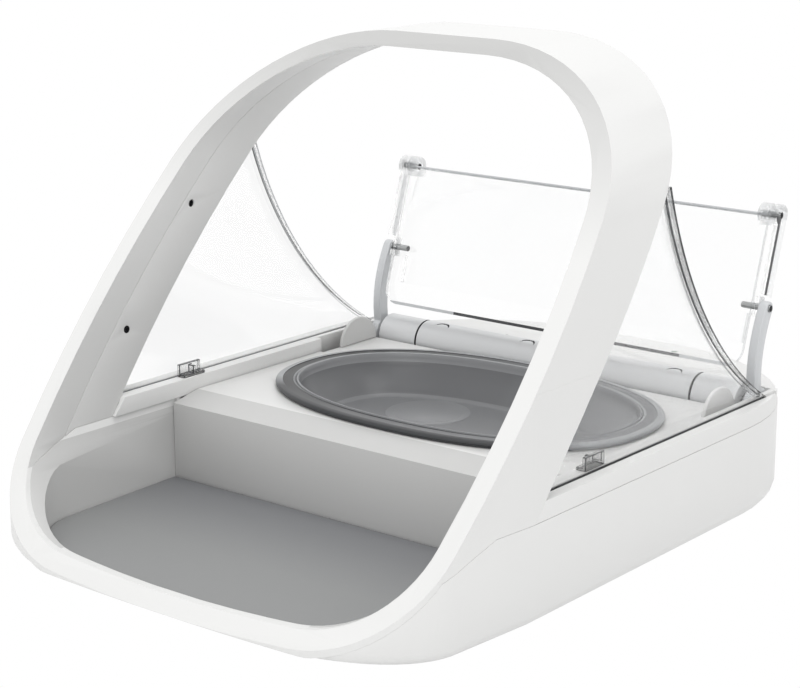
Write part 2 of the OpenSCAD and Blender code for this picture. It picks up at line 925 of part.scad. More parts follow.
module motor() {
    color("silver")
        difference() {
            union() {
                bar_x(gear_x + 7, gear_x + 42, pinion_y, pinion_z, 10);
                bar_x(gear_x + 42, gear_x + 44, pinion_y, pinion_z, 4);
            }
            bar_x(gear_x, gear_x + 15, pinion_y, pinion_z, 1 + run_gap);
        }
}

module gear_plates() {
    color("ivory") {
        for (x = [gear_x - 5.5, gear_x + 4.5])
            difference() {
                translate([x, idler_y - 9, floor_z])
                    cube([2.5, 35, idler_z - floor_z + 5]);
                bar_x(x - 1, x + 4, pinion_y, pinion_z, 1.3);
            }
        bar_x(gear_x - 5.5, gear_x + 6, idler_y, idler_z, 1.5);
        translate([gear_x + 7, pinion_y - 8, floor_z])
            difference() {
                cube([34, 16, pinion_z - floor_z - 6]);
                translate([-1, 8, pinion_z - floor_z])
                    rotate([0, 90, 0])
                        cylinder(r = 10, h = 40);
            }
    }
}

module circuit_board() {
    color("darkgreen")
        box_at([0, board_y, floor_z + 2], [92, 1.6, rear_z - floor_z - 4.6]);
    color("black")
        for (x = [-16, 0, 16])
            translate([x - 3, board_y + 0.7, button_z - 3])
                cube([6, 1.7, 6]);
    color("black") {
        translate([-30, board_y - 2.4, 18])
            cube([12, 1.7, 12]);
        translate([10, board_y - 2.4, 20])
            cube([9, 1.7, 9]);
    }
}

module light_guide() {
    color([0.7, 1, 0.7, 0.6])
        translate([30, board_y - 3, rear_z - 7])
            cylinder(r = 1.55, h = 6.9);
    color("white")
        box_at([30, board_y - 2.3, rear_z - 9.4], [3, 3, 2.5]);
}

module push_button(x) {
    translate([x, rear, button_z])
        rotate([90, 0, 0]) {
            translate([0, 0, 0.5])
                cylinder(r = button_r, h = 3);
            translate([0, 0, 3.3])
                cylinder(r = 1.6, h = rear - board_y - 7.1);
        }
}

module pairing_button() {
    color("lightgray")
        push_button(-16);
}

module training_button() {
    color("lightgray")
        push_button(0);
}

module lid_button() {
    color("lightgray")
        push_button(16);
}

module battery_cells() {
    color("goldenrod")
        both_sides()
            for (y = [cell_y - cell_l, cell_y])
                translate([cell_x, y, cell_z])
                    rotate([-90, 0, 0]) {
                        cylinder(r = cell_d / 2, h = cell_l - 1.2);
                        cylinder(r = 3, h = cell_l - 0.1);
                    }
}

module battery_contacts() {
    color("silver")
        both_sides() {
            translate([cell_x - 6, cell_y - cell_l - 0.5, cell_z - 6])
                cube([12, 0.5, 12]);
            translate([cell_x - 6, cell_y + cell_l, cell_z - 6])
                cube([12, 0.5, 12]);
            translate([cell_x, cell_y + cell_l, cell_z])
                rotate([-90, 0, 0])
                    cylinder(r = 2, h = 2.2);
            translate([cell_x, cell_y - cell_l - 2.2, cell_z])
                rotate([-90, 0, 0])
                    cylinder(r = 2, h = 2.2);
        }
}

module battery_door() {
    difference() {
        translate([cell_x - 12.2, bay_front + 1.2, low + 0.1])
            cube([20.4, bay_rear - bay_front - 2.4, floor_t - 0.1]);
        translate([cell_x - 2, bay_rear - 10, -1])
            cylinder(r = 3, h = low + 2);
    }
}

module battery_door_right() {
    color("white")
        battery_door();
}

module battery_door_left() {
    color("white")
        mirror([1, 0, 0])
            battery_door();
}

module feet() {
    color("black")
        for (p = foot_spots)
            translate([p[0], p[1], 0])
                cylinder(r = 7, h = low + 0.6);
}

module base_screws() {
    color("silver")
        for (p = boss_spots)
            translate([p[0], p[1], low]) {
                cylinder(r = 2.8, h = 1.6);
                translate([0, 0, 1.5])
                    cylinder(r = 1.3, h = seam_z - low - 0.7);
            }
}

// A round lead through the listed points: one ring at each point, square to the route.
function unit(v) = v / norm(v);
function heading(p, i) = unit(p[min(i + 1, len(p) - 1)] - p[max(i - 1, 0)]);
module lead(p) {
    n = 8;
    rings = [
        for (i = [0 : len(p) - 1])
            let (t = heading(p, i), u = unit(cross(t, [0.2, 0.9, 0.5])), w = cross(t, u))
            for (k = [0 : n - 1])
                p[i] + 0.7 * (cos(k * 360 / n) * u + sin(k * 360 / n) * w)
    ];
    last = (len(p) - 1) * n;
    polyhedron(
        points = rings,
        faces = concat(
            [[for (k = [n - 1 : -1 : 0]) k]],
            [[for (k = [0 : n - 1]) last + k]],
            [
                for (i = [0 : len(p) - 2])
                    for (k = [0 : n - 1])
                        for (f = [0, 1])
                            f == 0
                                ? [i * n + k, i * n + (k + 1) % n, (i + 1) * n + k]
                                : [i * n + (k + 1) % n, (i + 1) * n + (k + 1) % n, (i + 1) * n + k]
            ]
        )
    );
}

module leads() {
    color("red") {
        for (s = [-1, 1])
            lead([
                [s * (cell_x - 5), bay_rear - 0.9, cell_z + 3.8], [s * (cell_x - 2.5), bay_rear - 0.9, cell_z + 9.8],
                [s * (cell_x - 2.5), bay_rear + 2.8, cell_z + 9.8], [s * (cell_x - 2.5), shaft_y + 8.5, 20],
                [s * 86, shaft_y + 22.5, 10], [s * 66, rear - 24, 8], [s * 42, board_y - 1.5, 10]
            ]);
        lead([
            [gear_x + 42.55, pinion_y + 5.5, pinion_z + 3], [gear_x + 48, pinion_y + 8.2, pinion_z + 3.6],
            [0, board_y - 9, 26], [4, board_y - 1.6, 30]
        ]);
    }
}

lower_shell();
upper_shell();
arch_front();
arch_rear();
arch_screws();
antenna_coil();
window_left();
window_right();
window_clips();
barrel_middle();
barrel_left();
barrel_right();
bowl_tray();
tray_grips();
bowl();
bowl_seal();
mat();
lid_rear();
lid_front();
fold_pins();
arm_left();
arm_right();
arm_pins();
drive_shaft();
shaft_blocks();
output_gear();
idler_gear();
motor_pinion();
motor();
gear_plates();
circuit_board();
light_guide();
pairing_button();
training_button();
lid_button();
battery_cells();
battery_contacts();
battery_door_left();
battery_door_right();
feet();
base_screws();
leads();
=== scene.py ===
import json
import math

import bmesh
import bpy
from mathutils import Euler, Matrix, Vector

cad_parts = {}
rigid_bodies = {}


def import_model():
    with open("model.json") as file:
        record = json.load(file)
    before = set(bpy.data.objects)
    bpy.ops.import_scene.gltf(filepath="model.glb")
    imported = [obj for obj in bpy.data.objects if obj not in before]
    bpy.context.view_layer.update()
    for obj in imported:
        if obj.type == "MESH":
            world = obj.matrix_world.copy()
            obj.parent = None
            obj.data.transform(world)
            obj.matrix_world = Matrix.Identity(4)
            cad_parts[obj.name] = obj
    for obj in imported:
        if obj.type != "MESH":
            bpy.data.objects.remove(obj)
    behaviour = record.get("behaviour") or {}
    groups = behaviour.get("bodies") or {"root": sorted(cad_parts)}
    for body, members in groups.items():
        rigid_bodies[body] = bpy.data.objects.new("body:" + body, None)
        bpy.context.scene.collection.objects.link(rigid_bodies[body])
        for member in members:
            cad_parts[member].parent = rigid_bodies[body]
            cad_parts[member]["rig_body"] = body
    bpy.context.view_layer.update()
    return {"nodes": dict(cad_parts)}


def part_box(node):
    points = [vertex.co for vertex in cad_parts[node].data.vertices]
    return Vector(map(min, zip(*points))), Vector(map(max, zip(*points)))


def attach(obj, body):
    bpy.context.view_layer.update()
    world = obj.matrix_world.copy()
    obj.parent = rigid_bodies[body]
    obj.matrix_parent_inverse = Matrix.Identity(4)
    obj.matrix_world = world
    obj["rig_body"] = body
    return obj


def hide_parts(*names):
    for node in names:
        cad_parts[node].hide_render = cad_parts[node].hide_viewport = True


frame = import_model()

# The camera stands where the photographer stood: front right of the feeder and a little above it.
# Its place was worked out from the outline of the arch and the base.
scene = bpy.context.scene
camera = bpy.data.objects.new("camera", bpy.data.cameras.new("camera"))
scene.collection.objects.link(camera)
camera.location = (0.52499, -0.66948, 0.29389)
camera.rotation_euler = Euler([math.radians(a) for a in (75.647, 0.087, 38.884)])
camera.data.sensor_width = 36
camera.data.lens = 94.4
camera.data.shift_x = 0.0006
camera.data.shift_y = -0.01275
camera.data.clip_start = 0.01
camera.data.clip_end = 50
scene.camera = camera
scene.view_settings.view_transform = "Standard"


# The studio: a white paper sweep under soft daylight panels.
# The paper shows as plain white to the camera, in gloss and through clear plastic, and keeps the
# feeder's shadow.
def linear(hex_colour):
    """An sRGB colour as a linear one, fully opaque."""
    parts = [int(hex_colour[i:i + 2], 16) / 255 for i in (1, 3, 5)]
    return [c / 12.92 if c <= 0.04045 else ((c + 0.055) / 1.055) ** 2.4 for c in parts] + [1.0]


def link(node, **sources):
    """Joins other nodes' outputs to a node's inputs, by name with _ for a space, or by number as in0, in1."""
    for key, source in sources.items():
        slot = int(key[2:]) if key.startswith("in") and key[2:].isdigit() else key.replace("_", " ")
        node.id_data.links.new(source, node.inputs[slot])


def add(mat, kind, settings=(), **sources):
    """Adds one node. Settings are its properties or sockets, and sources are the outputs that feed it."""
    node = mat.node_tree.nodes.new(kind)
    for key, value in dict(settings).items():
        if isinstance(key, str) and hasattr(node, key):
            setattr(node, key, value)
        else:
            node.inputs[key].default_value = value
    link(node, **sources)
    return node


paper = bpy.data.materials.new("studio_paper")
air = bpy.data.worlds.new("studio_air")
scene.world = air
for backdrop, surface, colour, glow, out in (
        (paper, "ShaderNodeBsdfDiffuse", "#f4f4f4", "ShaderNodeEmission", "ShaderNodeOutputMaterial"),
        (air, "ShaderNodeBackground", "#ffffff", "ShaderNodeBackground", "ShaderNodeOutputWorld")):
    backdrop.use_nodes = True
    backdrop.node_tree.nodes.clear()
    ray = add(backdrop, "ShaderNodeLightPath").outputs
    clear_ray = add(backdrop, "ShaderNodeMath", {"operation": "MAXIMUM"},
                    in0=ray["Is Camera Ray"], in1=ray["Is Transmission Ray"])
    shown = add(backdrop, "ShaderNodeMath", {"operation": "MAXIMUM"},
                in0=clear_ray.outputs[0], in1=ray["Is Glossy Ray"])
    lit = add(backdrop, surface, {"Color": linear(colour)})
    white = add(backdrop, glow, {"Color": (1, 1, 1, 1), "Strength": 1.0})
    blend = add(backdrop, "ShaderNodeMixShader",
                in0=shown.outputs[0], in1=lit.outputs[0], in2=white.outputs[0])
    add(backdrop, out, Surface=blend.outputs[0])

just_under_the_feet = -0.0003
bpy.ops.object.select_all(action="DESELECT")
bpy.ops.mesh.primitive_plane_add(size=8, location=(0, 0, 0))
floor = bpy.context.object
floor.name = "studio_floor"
floor.data.transform(Matrix.Translation((0, 0, just_under_the_feet)))
floor.data.materials.append(paper)


def soft_panel(name, place, aim, size, watts):
    """A rectangular lamp that faces the point it is aimed at."""
    lamp = bpy.data.objects.new(name, bpy.data.lights.new(name, "AREA"))
    lamp.data.shape = "RECTANGLE"
    lamp.data.size, lamp.data.size_y = size
    lamp.data.energy = watts
    lamp.location = place
    lamp.rotation_euler = (Vector(aim) - Vector(place)).to_track_quat("-Z", "Y").to_euler()
    scene.collection.objects.link(lamp)


soft_panel("front_panel", place=(0.7, -1.5, 1.1), aim=(0, 0, 0.08), size=(0.8, 0.8), watts=3.5)
soft_panel("top_panel", place=(0.1, -0.1, 1.6), aim=(0, 0, 0.05), size=(0.9, 0.9), watts=8.5)


# The base: two shells and two battery doors moulded in white ABS, with a fine spark finish from the tool.
# ABS has an IOR of about 1.53. The satin grain spreads its highlights, and every moulded edge is slightly
# eased.
MM = 0.001
nodes = frame["nodes"]


def fresh(name, **sockets):
    """A new material with sockets of its shader set. It comes with that shader and the place on the piece."""
    mat = bpy.data.materials.new(name)
    mat.use_nodes = True
    skin = mat.node_tree.nodes["Principled BSDF"]
    for key, value in sockets.items():
        skin.inputs[key.replace("_", " ")].default_value = value
    return mat, skin, add(mat, "ShaderNodeTexCoord").outputs["Object"]


def moulded(name, colour, ior, gloss, grain_mm, relief):
    """A moulded plastic. Its gloss and shade waver over a hand's breadth, and its grain is the tool's."""
    hand_mm, grain_depth_mm, fading = 45, 0.05, 0.02
    mat, skin, where = fresh(name, IOR=ior)
    grain = add(mat, "ShaderNodeTexNoise", {"Scale": 1 / (grain_mm * MM), "Detail": 2.0}, Vector=where)
    waver = add(mat, "ShaderNodeTexNoise", {"Scale": 1 / (hand_mm * MM), "Detail": 3.0}, Vector=where)
    sheen = add(mat, "ShaderNodeMapRange", {"To Min": gloss - 0.04, "To Max": gloss + 0.05},
                Value=waver.outputs["Fac"])
    bump = add(mat, "ShaderNodeBump", {"Strength": relief, "Distance": grain_depth_mm * MM},
               Height=grain.outputs["Fac"])
    deep = [c * (1 - fading) for c in linear(colour)[:3]] + [1.0]
    pale = [min(1.0, c * (1 + fading)) for c in linear(colour)[:3]] + [1.0]
    tint = add(mat, "ShaderNodeMix", {"data_type": "RGBA", 6: deep, 7: pale}, in0=waver.outputs["Fac"])
    link(skin, Base_Color=tint.outputs[2], Roughness=sheen.outputs[0], Normal=bump.outputs[0])
    return mat


def pick(piece):
    """Selects one piece alone and makes it the active one."""
    bpy.ops.object.select_all(action="DESELECT")
    piece.select_set(True)
    bpy.context.view_layer.objects.active = piece


def open_for_editing(piece):
    pick(piece)
    bpy.ops.object.mode_set(mode="EDIT")


def eased(piece, edge_mm, angle=32, segments=3):
    """Rounds the sharp edges of a piece by a small bevel and smooths what lies between them."""
    pick(piece)
    if edge_mm:
        bevel = piece.modifiers.new("eased_edges", "BEVEL")
        bevel.width = edge_mm * MM
        bevel.segments = segments
        bevel.limit_method = "ANGLE"
        bevel.angle_limit = math.radians(angle)
        bpy.ops.object.modifier_apply(modifier=bevel.name)
    bpy.ops.object.shade_smooth_by_angle(angle=math.radians(angle - 2))


def stand_for(piece, node):
    """The piece takes the place of a CAD node and moves with its body."""
    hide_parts(node)
    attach(piece, nodes[node]["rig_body"])


def clean_copy(node, name, edge_mm, *finishes, angle=32):
    """A copy of a CAD node with its triangles joined and its sharp edges eased. It stands for the node."""
    piece = bpy.data.objects.new(name, nodes[node].data.copy())
    scene.collection.objects.link(piece)
    piece.data.materials.clear()
    for finish in finishes:
        piece.data.materials.append(finish)
    open_for_editing(piece)
    bpy.ops.mesh.select_all(action="SELECT")
    bpy.ops.mesh.remove_doubles(threshold=0.00001)
    bpy.ops.mesh.dissolve_limited(angle_limit=math.radians(0.3))
    bpy.ops.mesh.customdata_custom_splitnormals_clear()
    bpy.ops.object.mode_set(mode="OBJECT")
    for face in piece.data.polygons:
        face.material_index = 0
    eased(piece, edge_mm, angle)
    stand_for(piece, node)
    return piece


def finish_where(piece, index, test):
    """Gives a finish to each face whose centre, in millimetres, and normal pass the test."""
    for face in piece.data.polygons:
        if test(face.center / MM, face.normal):
            face.material_index = index


white_abs = moulded("white_moulded_abs", "#d6d6d5", ior=1.53, gloss=0.34, grain_mm=0.5, relief=0.03)
# The faces that look into the well are painted a greyer white as painted shade, with a coarser grain and a
# duller gloss. A face is one of them where it lies in the well's box and looks towards the middle of the well.
painted_shade_abs = moulded("white_abs_core_side", "#bdbdbc", ior=1.53, gloss=0.46, grain_mm=0.7, relief=0.12)
well_half_wide, well_front, well_middle, well_back = 103, -149, -90, -44
well_floor, well_top = 3, 47.5
for part in ("lower_shell", "upper_shell"):
    shell = clean_copy(part, part + "_moulding", 0.5, white_abs, painted_shade_abs)
    finish_where(shell, 1, lambda c, n: abs(c.x) < well_half_wide and well_front < c.y < well_back and
                 well_floor < c.z < well_top and n.x * c.x + n.y * (c.y - well_middle) < 1)
for side in ("left", "right"):
    clean_copy("battery_door_" + side, side + "_battery_door", 0.3, white_abs)


# Pan-head screws of zinc-plated steel with a cross recess. Six come up through the base and four hold the
# arch. Bright zinc gives a soft grey mirror, clouded by the passivation, and the recess reads as a dark
# cross.
def metal(name, dark, light, shiny, dull, grain_mm, detail=4.0, drawn=None, ridges=0):
    """A bare or plated metal whose gloss and shade cloud at a given grain.

    Drawn is how the grain is stretched to lines, and ridges is how strongly they stand up."""
    mat, skin, where = fresh(name, Metallic=1.0)
    if drawn:
        where = add(mat, "ShaderNodeMapping", {"Scale": drawn}, Vector=where).outputs[0]
    cloud = add(mat, "ShaderNodeTexNoise", {"Scale": 1 / (grain_mm * MM), "Detail": detail}, Vector=where)
    shade = add(mat, "ShaderNodeMix", {"data_type": "RGBA", 6: linear(dark), 7: linear(light)},
                in0=cloud.outputs["Fac"])
    rough = add(mat, "ShaderNodeMapRange", {"To Min": shiny, "To Max": dull}, Value=cloud.outputs["Fac"])
    link(skin, Base_Color=shade.outputs[2], Roughness=rough.outputs[0])
    if ridges:
        bump = add(mat, "ShaderNodeBump", {"Strength": ridges, "Distance": 0.02 * MM},
                   Height=cloud.outputs["Fac"])
        link(skin, Normal=bump.outputs[0])
    return mat


zinc = metal("zinc_plated_steel", "#9fa1a3", "#c3c4c3", 0.24, 0.42, grain_mm=1.5)
# The arch screws are blackened, so that they read as small dark dots in the white wall.
black_oxide = metal("black_oxide_steel", "#1b1b1d", "#343436", 0.35, 0.5, grain_mm=0.8, detail=3.0)


def cross_screw(head_r, head_h, shank_r, length):
    """A screw with its head's face at z = 0, pointing up. The recess is cut by two crossed wedges."""
    tip_h, tip_share = 0.8, 0.4
    recess_long, recess_wide, recess_deep = head_r * 1.15, head_r * 0.28, head_h * 1.1
    bpy.ops.object.select_all(action="DESELECT")
    bpy.ops.mesh.primitive_cylinder_add(vertices=32, radius=head_r * MM, depth=head_h * MM,
                                        location=(0, 0, head_h * MM / 2))
    screw = bpy.context.object
    bpy.ops.object.transform_apply(location=True)
    open_for_editing(screw)
    bpy.ops.mesh.select_mode(type="FACE")
    bpy.ops.mesh.select_all(action="DESELECT")
    bpy.ops.object.mode_set(mode="OBJECT")
    for face in screw.data.polygons:
        face.select = face.normal.z > 0.9
    bpy.ops.object.mode_set(mode="EDIT")
    bpy.ops.mesh.inset(thickness=(head_r - shank_r) * MM)
    for rise in (length - head_h - tip_h, tip_h):
        bpy.ops.mesh.extrude_region_move(TRANSFORM_OT_translate={"value": (0, 0, rise * MM)})
    bpy.ops.transform.resize(value=(tip_share, tip_share, 1))
    bpy.ops.object.mode_set(mode="OBJECT")
    for turn in (0, 90):
        bpy.ops.object.select_all(action="DESELECT")
        bpy.ops.mesh.primitive_cube_add(size=1, rotation=(0, 0, math.radians(turn)))
        wedge = bpy.context.object
        wedge.scale = (recess_long * MM, recess_wide * MM, recess_deep * MM)
        bpy.ops.object.transform_apply(location=True, rotation=True, scale=True)
        cut = screw.modifiers.new("recess", "BOOLEAN")
        cut.object = wedge
        cut.operation = "DIFFERENCE"
        pick(screw)
        bpy.ops.object.modifier_apply(modifier="recess")
        bpy.data.objects.remove(wedge)
    eased(screw, 0.12, segments=2)
    return screw


def place_screws(pattern, name, node, finish, spots):
    """Copies the pattern screw to each spot, turned about Y. Together the copies stand for the node."""
    copies = []
    for x, y, z, turn in spots:
        screw = bpy.data.objects.new(name, pattern.data.copy())
        scene.collection.objects.link(screw)
        turned = Matrix.Rotation(math.radians(turn), 4, "Y")
        screw.data.transform(Matrix.Translation(Vector((x, y, z)) * MM) @ turned)
        copies.append(screw)
    bpy.data.objects.remove(pattern)
    bpy.ops.object.select_all(action="DESELECT")
    for screw in copies:
        screw.select_set(True)
    bpy.context.view_layer.objects.active = copies[0]
    bpy.ops.object.join()
    copies[0].data.materials.clear()
    copies[0].data.materials.append(finish)
    stand_for(copies[0], node)


screws_low, screws_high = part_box("base_screws")
head_z, screw_length = screws_low[2] / MM, (screws_high[2] - screws_low[2]) / MM
place_screws(cross_screw(head_r=2.8, head_h=1.6, shank_r=1.3, length=screw_length),
             "base_cross_screws", "base_screws", zinc,
             [(s * x, y, head_z, 0) for s in (-1, 1) for x, y in ((74, 112), (40, 140), (106, -34))])

# Four soft rubber feet are pressed into round seats in the floor. Carbon-filled rubber is matt and nearly
# black.
foot_rubber = moulded("black_rubber", "#2b2b2b", ior=1.52, gloss=0.75, grain_mm=0.35, relief=0.2)
clean_copy("feet", "rubber_feet", 0.3, foot_rubber)


# Power: two size C cells lie nose to tail in each side of the base, between nickel-plated contact plates.
# Each cell is a steel can in a printed plastic sleeve: smooth, dark and glossy, with a plain copper band.
nickel = metal("nickel_plated_steel", "#b9b4a8", "#d2cec4", 0.16, 0.28, grain_mm=2.0)
cells_low, cells_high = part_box("battery_cells")
cell_length = (cells_high[1] - cells_low[1]) / 2
band_starts_mm, dots_mm = 36, 0.6
cell_sleeve, skin, where = fresh("printed_cell_sleeve", IOR=1.54)
axes = add(cell_sleeve, "ShaderNodeSeparateXYZ", Vector=where)
along = add(cell_sleeve, "ShaderNodeMath", {"operation": "SUBTRACT", 1: cells_low[1]}, in0=axes.outputs["Y"])
one_cell = add(cell_sleeve, "ShaderNodeMath", {"operation": "MODULO", 1: cell_length}, in0=along.outputs[0])
band = add(cell_sleeve, "ShaderNodeMath", {"operation": "GREATER_THAN", 1: band_starts_mm * MM},
           in0=one_cell.outputs[0])
ink = add(cell_sleeve, "ShaderNodeMix", {"data_type": "RGBA", 6: linear("#262628"), 7: linear("#a9683a")},
          in0=band.outputs[0])
dots = add(cell_sleeve, "ShaderNodeTexNoise", {"Scale": 1 / (dots_mm * MM), "Detail": 2.0}, Vector=where)
rough = add(cell_sleeve, "ShaderNodeMapRange", {"To Min": 0.22, "To Max": 0.3}, Value=dots.outputs["Fac"])
link(skin, Base_Color=ink.outputs[2], Roughness=rough.outputs[0])
# The sleeve leaves the cell's flat ends bare, and the nose, which is close to the cell's axis.
cells = clean_copy("battery_cells", "size_c_cells", 0.5, cell_sleeve, nickel)
cell_r, bare_r = 13, 9
cell_x = (cells_high[0] / MM) - cell_r
cell_z = (cells_high[2] + cells_low[2]) / 2 / MM
finish_where(cells, 1, lambda c, n: math.hypot(abs(c.x) - cell_x, c.z - cell_z) < bare_r or abs(n.y) > 0.9)
clean_copy("battery_contacts", "contact_plates", 0.1, nickel)


# The leads: tinned stranded wire in soft red PVC, pushed into place round the shells' bosses.
# Plasticised PVC is smooth and slightly waxy, with an IOR of about 1.54.
red_pvc = moulded("red_pvc_sleeving", "#a8221c", ior=1.54, gloss=0.38, grain_mm=0.4, relief=0.05)
clean_copy("leads", "wire_leads", 0, red_pvc, angle=50)


# The drive: a small can motor turns the lid's shaft through two stages of spur gears on a fixed axle.
# The gears and plates are moulded in natural acetal, which is waxy and milky white.
acetal = moulded("natural_acetal", "#ece8dc", ior=1.48, gloss=0.42, grain_mm=0.6, relief=0.05)
for gear in ("output_gear", "idler_gear"):
    clean_copy(gear, gear + "_wheel", 0.12, acetal, angle=25)
for part, name in (("gear_plates", "gear_side_plates"), ("shaft_blocks", "shaft_bearing_blocks")):
    clean_copy(part, name, 0.3, acetal)

# The pinion is hobbed from free-cutting brass and pressed on the motor's shaft.
brass = metal("machined_brass", "#b08d3f", "#d0b062", 0.18, 0.3, grain_mm=0.8)
clean_copy("motor_pinion", "brass_pinion", 0.06, brass, angle=25)

# The motor's can is drawn from zinc-plated steel, so it has fine drawing lines along its axis, which is X.
drawn_steel = metal("drawn_steel_can", "#a3a5a8", "#c4c6c7", 0.2, 0.36, grain_mm=0.4, detail=3.0,
                    drawn=(0.03, 1, 1), ridges=0.08)
clean_copy("motor", "geared_motor_can", 0.6, drawn_steel)

# The shaft is ground stainless bar: bright, with very fine rings round it from the grinding wheel.
ground_steel = metal("ground_stainless_bar", "#b4b5b6", "#cdcecd", 0.16, 0.28, grain_mm=0.25, detail=3.0,
                     drawn=(1, 0.02, 0.02))
clean_copy("drive_shaft", "lid_drive_shaft", 0.3, ground_steel)


# The circuit board stands in slots behind the rear wall: glass epoxy under a green solder mask.
# The mask is glossy, and the copper tracks under it stand a hair proud and show as paler green.
mask, skin, where = fresh("green_solder_mask", IOR=1.52, Roughness=0.22)
face_on = add(mask, "ShaderNodeMapping", {"Rotation": (math.radians(90), 0, 0)}, Vector=where)
tracks = add(mask, "ShaderNodeTexBrick", {
    "Scale": 1 / (2.5 * MM), "Mortar Size": 0.09, "Color1": linear("#0d4a2a"), "Color2": linear("#0a3f24"),
    "Mortar": linear("#2f7d4b"), "Brick Width": 2.6, "Row Height": 0.8}, Vector=face_on.outputs[0])
proud = add(mask, "ShaderNodeBump", {"Strength": 0.3, "Distance": 0.04 * MM}, Height=tracks.outputs["Fac"])
link(skin, Base_Color=tracks.outputs["Color"], Normal=proud.outputs[0])
# What stands on it is cased in black moulding resin, which is matt with a fine spark texture.
chip_resin = moulded("black_moulding_resin", "#232324", ior=1.55, gloss=0.55, grain_mm=0.3, relief=0.15)
board_y, board_half_thick = 151.0, 0.85
board = clean_copy("circuit_board", "control_board", 0.1, mask, chip_resin)
finish_where(board, 1, lambda c, n: abs(c.y - board_y) > board_half_thick)

# The light guide is clear acrylic, moulded and polished, over a green lamp on the board.
guide, skin, where = fresh("green_lit_acrylic", Base_Color=linear("#c9f2cf"), IOR=1.49,
                           Transmission_Weight=0.85)
haze = add(guide, "ShaderNodeTexNoise", {"Scale": 1 / (0.6 * MM), "Detail": 2.0}, Vector=where)
cloudy = add(guide, "ShaderNodeMapRange", {"To Min": 0.08, "To Max": 0.2}, Value=haze.outputs["Fac"])
link(skin, Roughness=cloudy.outputs[0])
clean_copy("light_guide", "status_light_guide", 0.2, guide)

# The three push buttons are moulded in pale grey ABS and stand just below the rear wall's face.
pale_grey_abs = moulded("pale_grey_moulded_abs", "#d3d4d5", ior=1.53, gloss=0.32, grain_mm=0.5, relief=0.05)
for button in ("pairing_button", "training_button", "lid_button"):
    clean_copy(button, button + "_cap", 0.4, pale_grey_abs)


# The arch: two white ABS mouldings round a copper aerial coil, screwed together on the inner face.
# The front half shows one unbroken face, painted greyer towards the crown as painted shade. The halves meet in
# a fine seam inside.
# Each use of shaded paints light and shade into a colour along one axis.
def shaded(name, ior, gloss, axis, start, end):
    """A moulded plastic whose colour changes along an axis. Each end is a place in millimetres and a colour."""
    (start_at, start_colour), (end_at, end_colour) = start, end
    mat = moulded(name, start_colour, ior, gloss, grain_mm=0.6, relief=0.03)
    where = add(mat, "ShaderNodeTexCoord").outputs["Object"]
    parts = add(mat, "ShaderNodeSeparateXYZ", Vector=where)
    along = add(mat, "ShaderNodeMapRange", {"From Min": start_at * MM, "From Max": end_at * MM},
                Value=parts.outputs[axis])
    tint = add(mat, "ShaderNodeMix", {"data_type": "RGBA", 6: linear(start_colour), 7: linear(end_colour)},
               in0=along.outputs[0])
    link(mat.node_tree.nodes["Principled BSDF"], Base_Color=tint.outputs[2])
    return mat


arch_lean = math.radians(49.4)
out_of_arch = Vector((0, -math.sin(arch_lean), math.cos(arch_lean)))
up_the_arch = Vector((0, math.cos(arch_lean), math.sin(arch_lean)))
arch_face = shaded("white_abs_arch_face", 1.53, 0.34, "Z", (130, "#d6d6d5"), (196, "#b7b7b6"))
arch_inner_painted_shade = shaded("white_abs_arch_inner_painted_shade", 1.53, 0.34, "Z", (45, "#c3c3c2"), (130, "#d6d6d5"))
# The inner faces, which look in towards the arch's middle from the rails up to where the crown begins, are
# painted darker towards the bottom as painted shade.
inner_shade_bottom, arch_middle, inner_shade_top = 30, 110, 145
for part, edge_mm in (("arch_front", 0.7), ("arch_rear", 0.5)):
    half = clean_copy(part, part + "_moulding", edge_mm, white_abs, arch_inner_painted_shade, arch_face)
    finish_where(half, 1, lambda c, n: abs(n.dot(out_of_arch)) < 0.3 and inner_shade_bottom < c.z < inner_shade_top and
                 n.x * c.x + n.dot(up_the_arch) * (c.z - arch_middle) < -20)
    finish_where(half, 2, lambda c, n: n.dot(out_of_arch) > 0.95)

# Each arch screw's head is where the node's own screw is nearest the middle of the feeder.
corners = [v.co / MM for v in nodes["arch_screws"].data.vertices]
middle_z = sum(p.z for p in corners) / len(corners)
spots = []
for s in (-1, 1):
    for above in (True, False):
        own = [p for p in corners if p.x * s > 0 and (p.z > middle_z) == above]
        head_x = s * min(abs(p.x) for p in own)
        axis_y = (min(p.y for p in own) + max(p.y for p in own)) / 2
        axis_z = (min(p.z for p in own) + max(p.z for p in own)) / 2
        spots.append((head_x, axis_y, axis_z, 90 * s))
place_screws(cross_screw(head_r=1.6, head_h=1.4, shank_r=0.9, length=5.2),
             "arch_cross_screws", "arch_screws", black_oxide, spots)

# The aerial is enamelled copper wire, wound in a flat bundle: brown, glossy, with the turns showing as fine
# lines. They are drawn coarser than the real wire, so that they show.
enamelled_wire, skin, where = fresh("enamelled_copper_wire", Metallic=0.85, Roughness=0.3)
turns = add(enamelled_wire, "ShaderNodeTexWave", {
    "Scale": 1 / (5 * MM), "Distortion": 0.6, "Detail": 1.0, "bands_direction": "Z"}, Vector=where)
shade = add(enamelled_wire, "ShaderNodeMix",
            {"data_type": "RGBA", 6: linear("#5a2a14"), 7: linear("#b5673a")}, in0=turns.outputs["Fac"])
strands = add(enamelled_wire, "ShaderNodeBump", {"Strength": 0.4, "Distance": 0.15 * MM},
              Height=turns.outputs["Fac"])
link(skin, Base_Color=shade.outputs[2], Normal=strands.outputs[0])
clean_copy("antenna_coil", "aerial_winding", 0.4, enamelled_wire)


